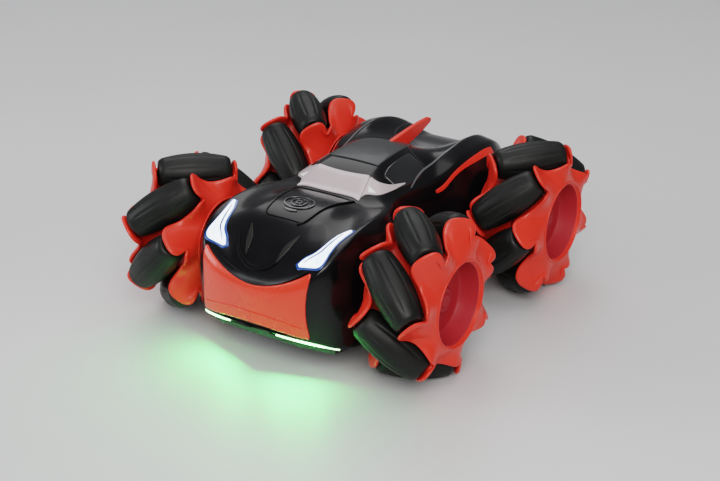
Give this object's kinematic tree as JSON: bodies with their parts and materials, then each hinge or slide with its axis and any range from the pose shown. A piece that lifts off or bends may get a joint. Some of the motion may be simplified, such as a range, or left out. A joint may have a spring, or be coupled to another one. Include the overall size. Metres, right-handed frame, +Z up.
{
  "type": "radio controlled stunt car",
  "caption": "Radio controlled stunt car with a low glossy black body, a red-orange bumper and hubs, and mecanum wheels with free-spinning angled rollers.",
  "frame": {"origin": "on the ground, midway between the four axles", "axes": "nose towards -Y, the car's left side towards +X, +Z up"},
  "size_m": [0.1914, 0.2164, 0.0899],
  "materials": {
    "black_matte": "fine satin moulding",
    "black_gloss": "glossy black shell",
    "orange_gloss": "satin-gloss red-orange moulding",
    "pale_glazing": "glossy pale grey-pink film",
    "grey_satin": "dark grey satin",
    "white_lens": "frosted clear lens",
    "green_lens": "frosted green lens",
    "motor_steel": "plated steel can",
    "battery_wrap": "blue shrink wrap",
    "board_green": "solder mask",
    "screw_steel": "zinc-plated steel",
    "switch_black": "grained",
    "axle_steel": "bright steel with moulded gear",
    "pinion_brass": "cut brass",
    "roller_rubber": "smooth black with faint ribs"
  },
  "bodies": {
    "chassis": {"chassis_tub": "black_matte", "upper_shell": "black_gloss", "front_bumper": "orange_gloss", "windshield": "pale_glazing", "roof_panel": "grey_satin", "roof_fin": "orange_gloss", "headlight_lenses": "white_lens", "underglow_lenses": "green_lens", "fender_trims": "orange_gloss", "motors": "motor_steel", "gearbox_covers": "black_matte", "battery_pack": "battery_wrap", "circuit_board": "board_green", "screws": "screw_steel"},
    "door": {"battery_door": "black_matte"},
    "switch_knob": {"power_switch": "switch_black"},
    "wheel_fl": {"hub_outer_fl": "orange_gloss", "hub_inner_fl": "orange_gloss", "drive_axle_fl": "axle_steel"},
    "pinion_fl": {"motor_pinion_fl": "pinion_brass"},
    "wheel_fr": {"hub_outer_fr": "orange_gloss", "hub_inner_fr": "orange_gloss", "drive_axle_fr": "axle_steel"},
    "pinion_fr": {"motor_pinion_fr": "pinion_brass"},
    "wheel_rl": {"hub_outer_rl": "orange_gloss", "hub_inner_rl": "orange_gloss", "drive_axle_rl": "axle_steel"},
    "pinion_rl": {"motor_pinion_rl": "pinion_brass"},
    "wheel_rr": {"hub_outer_rr": "orange_gloss", "hub_inner_rr": "orange_gloss", "drive_axle_rr": "axle_steel"},
    "pinion_rr": {"motor_pinion_rr": "pinion_brass"},
    "roller_body_fl_1": {"roller_fl_1": "roller_rubber"},
    "roller_body_fr_1": {"roller_fr_1": "roller_rubber"},
    "roller_body_rl_1": {"roller_rl_1": "roller_rubber"},
    "roller_body_rr_1": {"roller_rr_1": "roller_rubber"},
    "roller_body_fl_2": {"roller_fl_2": "roller_rubber"},
    "roller_body_fr_2": {"roller_fr_2": "roller_rubber"},
    "roller_body_rl_2": {"roller_rl_2": "roller_rubber"},
    "roller_body_rr_2": {"roller_rr_2": "roller_rubber"},
    "roller_body_fl_3": {"roller_fl_3": "roller_rubber"},
    "roller_body_fr_3": {"roller_fr_3": "roller_rubber"},
    "roller_body_rl_3": {"roller_rl_3": "roller_rubber"},
    "roller_body_rr_3": {"roller_rr_3": "roller_rubber"},
    "roller_body_fl_4": {"roller_fl_4": "roller_rubber"},
    "roller_body_fr_4": {"roller_fr_4": "roller_rubber"},
    "roller_body_rl_4": {"roller_rl_4": "roller_rubber"},
    "roller_body_rr_4": {"roller_rr_4": "roller_rubber"},
    "roller_body_fl_5": {"roller_fl_5": "roller_rubber"},
    "roller_body_fr_5": {"roller_fr_5": "roller_rubber"},
    "roller_body_rl_5": {"roller_rl_5": "roller_rubber"},
    "roller_body_rr_5": {"roller_rr_5": "roller_rubber"},
    "roller_body_fl_6": {"roller_fl_6": "roller_rubber"},
    "roller_body_fr_6": {"roller_fr_6": "roller_rubber"},
    "roller_body_rl_6": {"roller_rl_6": "roller_rubber"},
    "roller_body_rr_6": {"roller_rr_6": "roller_rubber"},
    "roller_body_fl_7": {"roller_fl_7": "roller_rubber"},
    "roller_body_fr_7": {"roller_fr_7": "roller_rubber"},
    "roller_body_rl_7": {"roller_rl_7": "roller_rubber"},
    "roller_body_rr_7": {"roller_rr_7": "roller_rubber"}
  },
  "joints": [
    {"name": "wheel_fl_spin", "type": "hinge", "parent": "chassis", "child": "wheel_fl", "pos_m": [0.0747, -0.0597, 0.045], "axis": [1, 0, 0], "continuous": true},
    {"name": "wheel_fr_spin", "type": "hinge", "parent": "chassis", "child": "wheel_fr", "pos_m": [-0.0747, -0.0597, 0.045], "axis": [1, 0, 0], "continuous": true},
    {"name": "wheel_rl_spin", "type": "hinge", "parent": "chassis", "child": "wheel_rl", "pos_m": [0.0747, 0.0597, 0.045], "axis": [1, 0, 0], "continuous": true},
    {"name": "wheel_rr_spin", "type": "hinge", "parent": "chassis", "child": "wheel_rr", "pos_m": [-0.0747, 0.0597, 0.045], "axis": [1, 0, 0], "continuous": true},
    {"name": "battery_door_hinge", "type": "hinge", "parent": "chassis", "child": "door", "pos_m": [0, 0.027, 0.0154], "axis": [1, 0, 0], "range_deg": [0, 75]},
    {"name": "power_switch_slide", "type": "slide", "parent": "chassis", "child": "switch_knob", "axis": [0, 1, 0], "range_m": [0, 0.003]},
    {"name": "pinion_fl_spin", "type": "hinge", "parent": "chassis", "child": "pinion_fl", "pos_m": [0.0375, -0.0453, 0.045], "axis": [1, 0, 0], "continuous": true},
    {"name": "pinion_fr_spin", "type": "hinge", "parent": "chassis", "child": "pinion_fr", "pos_m": [-0.0375, -0.0453, 0.045], "axis": [1, 0, 0], "continuous": true},
    {"name": "pinion_rl_spin", "type": "hinge", "parent": "chassis", "child": "pinion_rl", "pos_m": [0.0375, 0.0453, 0.045], "axis": [1, 0, 0], "continuous": true},
    {"name": "pinion_rr_spin", "type": "hinge", "parent": "chassis", "child": "pinion_rr", "pos_m": [-0.0375, 0.0453, 0.045], "axis": [1, 0, 0], "continuous": true},
    {"name": "roller_fl_1_spin", "type": "hinge", "parent": "wheel_fl", "child": "roller_body_fl_1", "pos_m": [0.0747, -0.09052, 0.0605], "axis": [0.7071, -0.3177, -0.6317], "continuous": true},
    {"name": "roller_fr_1_spin", "type": "hinge", "parent": "wheel_fr", "child": "roller_body_fr_1", "pos_m": [-0.0747, -0.08514, 0.06831], "axis": [0.7071, 0.4777, 0.5213], "continuous": true},
    {"name": "roller_rl_1_spin", "type": "hinge", "parent": "wheel_rl", "child": "roller_body_rl_1", "pos_m": [0.0747, 0.03093, 0.06404], "axis": [0.7071, 0.3903, 0.5896], "continuous": true},
    {"name": "roller_rr_1_spin", "type": "hinge", "parent": "wheel_rr", "child": "roller_body_rr_1", "pos_m": [-0.0747, 0.02891, 0.06056], "axis": [0.7071, -0.3188, -0.6312], "continuous": true},
    {"name": "roller_fl_2_spin", "type": "hinge", "parent": "wheel_fl", "child": "roller_body_fl_2", "pos_m": [0.0747, -0.0668, 0.07876], "axis": [0.7071, -0.692, -0.1455], "continuous": true},
    {"name": "roller_fr_2_spin", "type": "hinge", "parent": "wheel_fr", "child": "roller_body_fr_2", "pos_m": [-0.0747, -0.05734, 0.07942], "axis": [0.7071, 0.7054, -0.0484], "continuous": true},
    {"name": "roller_rl_2_spin", "type": "hinge", "parent": "wheel_rl", "child": "roller_body_rl_2", "pos_m": [0.0747, 0.05665, 0.07936], "axis": [0.7071, 0.7043, 0.0625], "continuous": true},
    {"name": "roller_rr_2_spin", "type": "hinge", "parent": "wheel_rr", "child": "roller_body_rr_2", "pos_m": [-0.0747, 0.05266, 0.07877], "axis": [0.7071, -0.6922, -0.1443], "continuous": true},
    {"name": "roller_fl_3_spin", "type": "hinge", "parent": "wheel_fl", "child": "roller_body_fl_3", "pos_m": [0.0747, -0.03773, 0.0716], "axis": [0.7071, -0.5452, 0.4503], "continuous": true},
    {"name": "roller_fr_3_spin", "type": "hinge", "parent": "wheel_fr", "child": "roller_body_fr_3", "pos_m": [-0.0747, -0.03132, 0.06461], "axis": [0.7071, 0.402, -0.5817], "continuous": true},
    {"name": "roller_rl_3_spin", "type": "hinge", "parent": "wheel_rl", "child": "roller_body_rl_3", "pos_m": [0.0747, 0.08467, 0.06881], "axis": [0.7071, 0.488, -0.5117], "continuous": true},
    {"name": "roller_rr_3_spin", "type": "hinge", "parent": "wheel_rr", "child": "roller_body_rr_3", "pos_m": [-0.0747, 0.08172, 0.07156], "axis": [0.7071, -0.5444, 0.4513], "continuous": true},
    {"name": "roller_fl_4_spin", "type": "hinge", "parent": "wheel_fl", "child": "roller_body_fl_4", "pos_m": [0.0747, -0.02521, 0.04441], "axis": [0.7071, 0.0122, 0.707], "continuous": true},
    {"name": "roller_fr_4_spin", "type": "hinge", "parent": "wheel_fr", "child": "roller_body_fr_4", "pos_m": [-0.0747, -0.02667, 0.03504], "axis": [0.7071, -0.2042, -0.677], "continuous": true},
    {"name": "roller_rl_4_spin", "type": "hinge", "parent": "wheel_rl", "child": "roller_body_rl_4", "pos_m": [0.0747, 0.09388, 0.04033], "axis": [0.7071, -0.0958, -0.7006], "continuous": true},
    {"name": "roller_rr_4_spin", "type": "hinge", "parent": "wheel_rr", "child": "roller_body_rr_4", "pos_m": [-0.0747, 0.09419, 0.04435], "axis": [0.7071, 0.0134, 0.707], "continuous": true},
    {"name": "roller_fl_5_spin", "type": "hinge", "parent": "wheel_fl", "child": "roller_body_fl_5", "pos_m": [0.0747, -0.03866, 0.01766], "axis": [0.7071, 0.5603, 0.4313], "continuous": true},
    {"name": "roller_fr_5_spin", "type": "hinge", "parent": "wheel_fr", "child": "roller_body_fr_5", "pos_m": [-0.0747, -0.0469, 0.01296], "axis": [0.7071, -0.6566, -0.2624], "continuous": true},
    {"name": "roller_rl_5_spin", "type": "hinge", "parent": "wheel_rl", "child": "roller_body_rl_5", "pos_m": [0.0747, 0.07736, 0.01536], "axis": [0.7071, -0.6075, -0.3619], "continuous": true},
    {"name": "roller_rr_5_spin", "type": "hinge", "parent": "wheel_rr", "child": "roller_body_rr_5", "pos_m": [-0.0747, 0.0807, 0.01762], "axis": [0.7071, 0.5611, 0.4303], "continuous": true},
    {"name": "roller_fl_6_spin", "type": "hinge", "parent": "wheel_fl", "child": "roller_body_fl_6", "pos_m": [0.0747, -0.06795, 0.0115], "axis": [0.7071, 0.6866, -0.1692], "continuous": true},
    {"name": "roller_fr_6_spin", "type": "hinge", "parent": "wheel_fr", "child": "roller_body_fr_6", "pos_m": [-0.0747, -0.07676, 0.01502], "axis": [0.7071, -0.6146, 0.3497], "continuous": true},
    {"name": "roller_rl_6_spin", "type": "hinge", "parent": "wheel_rl", "child": "roller_body_rl_6", "pos_m": [0.0747, 0.04754, 0.01272], "axis": [0.7071, -0.6617, 0.2493], "continuous": true},
    {"name": "roller_rr_6_spin", "type": "hinge", "parent": "wheel_rr", "child": "roller_body_rr_6", "pos_m": [-0.0747, 0.05139, 0.01152], "axis": [0.7071, 0.6863, -0.1704], "continuous": true},
    {"name": "roller_fl_7_spin", "type": "hinge", "parent": "wheel_fl", "child": "roller_body_fl_7", "pos_m": [0.0747, -0.09104, 0.03057], "axis": [0.7071, 0.2958, -0.6423], "continuous": true},
    {"name": "roller_fr_7_spin", "type": "hinge", "parent": "wheel_fr", "child": "roller_body_fr_7", "pos_m": [-0.0747, -0.09378, 0.03965], "axis": [0.7071, -0.1097, 0.6985], "continuous": true},
    {"name": "roller_rl_7_spin", "type": "hinge", "parent": "wheel_rl", "child": "roller_body_rl_7", "pos_m": [0.0747, 0.02688, 0.03438], "axis": [0.7071, -0.2177, 0.6728], "continuous": true},
    {"name": "roller_rr_7_spin", "type": "hinge", "parent": "wheel_rr", "child": "roller_body_rr_7", "pos_m": [-0.0747, 0.02834, 0.03062], "axis": [0.7071, 0.2947, -0.6428], "continuous": true}
  ],
  "couplings": [
    {"joint": "pinion_fl_spin", "follows": "wheel_fl_spin", "ratio": -3},
    {"joint": "pinion_fr_spin", "follows": "wheel_fr_spin", "ratio": -3},
    {"joint": "pinion_rl_spin", "follows": "wheel_rl_spin", "ratio": -3},
    {"joint": "pinion_rr_spin", "follows": "wheel_rr_spin", "ratio": -3}
  ]
}
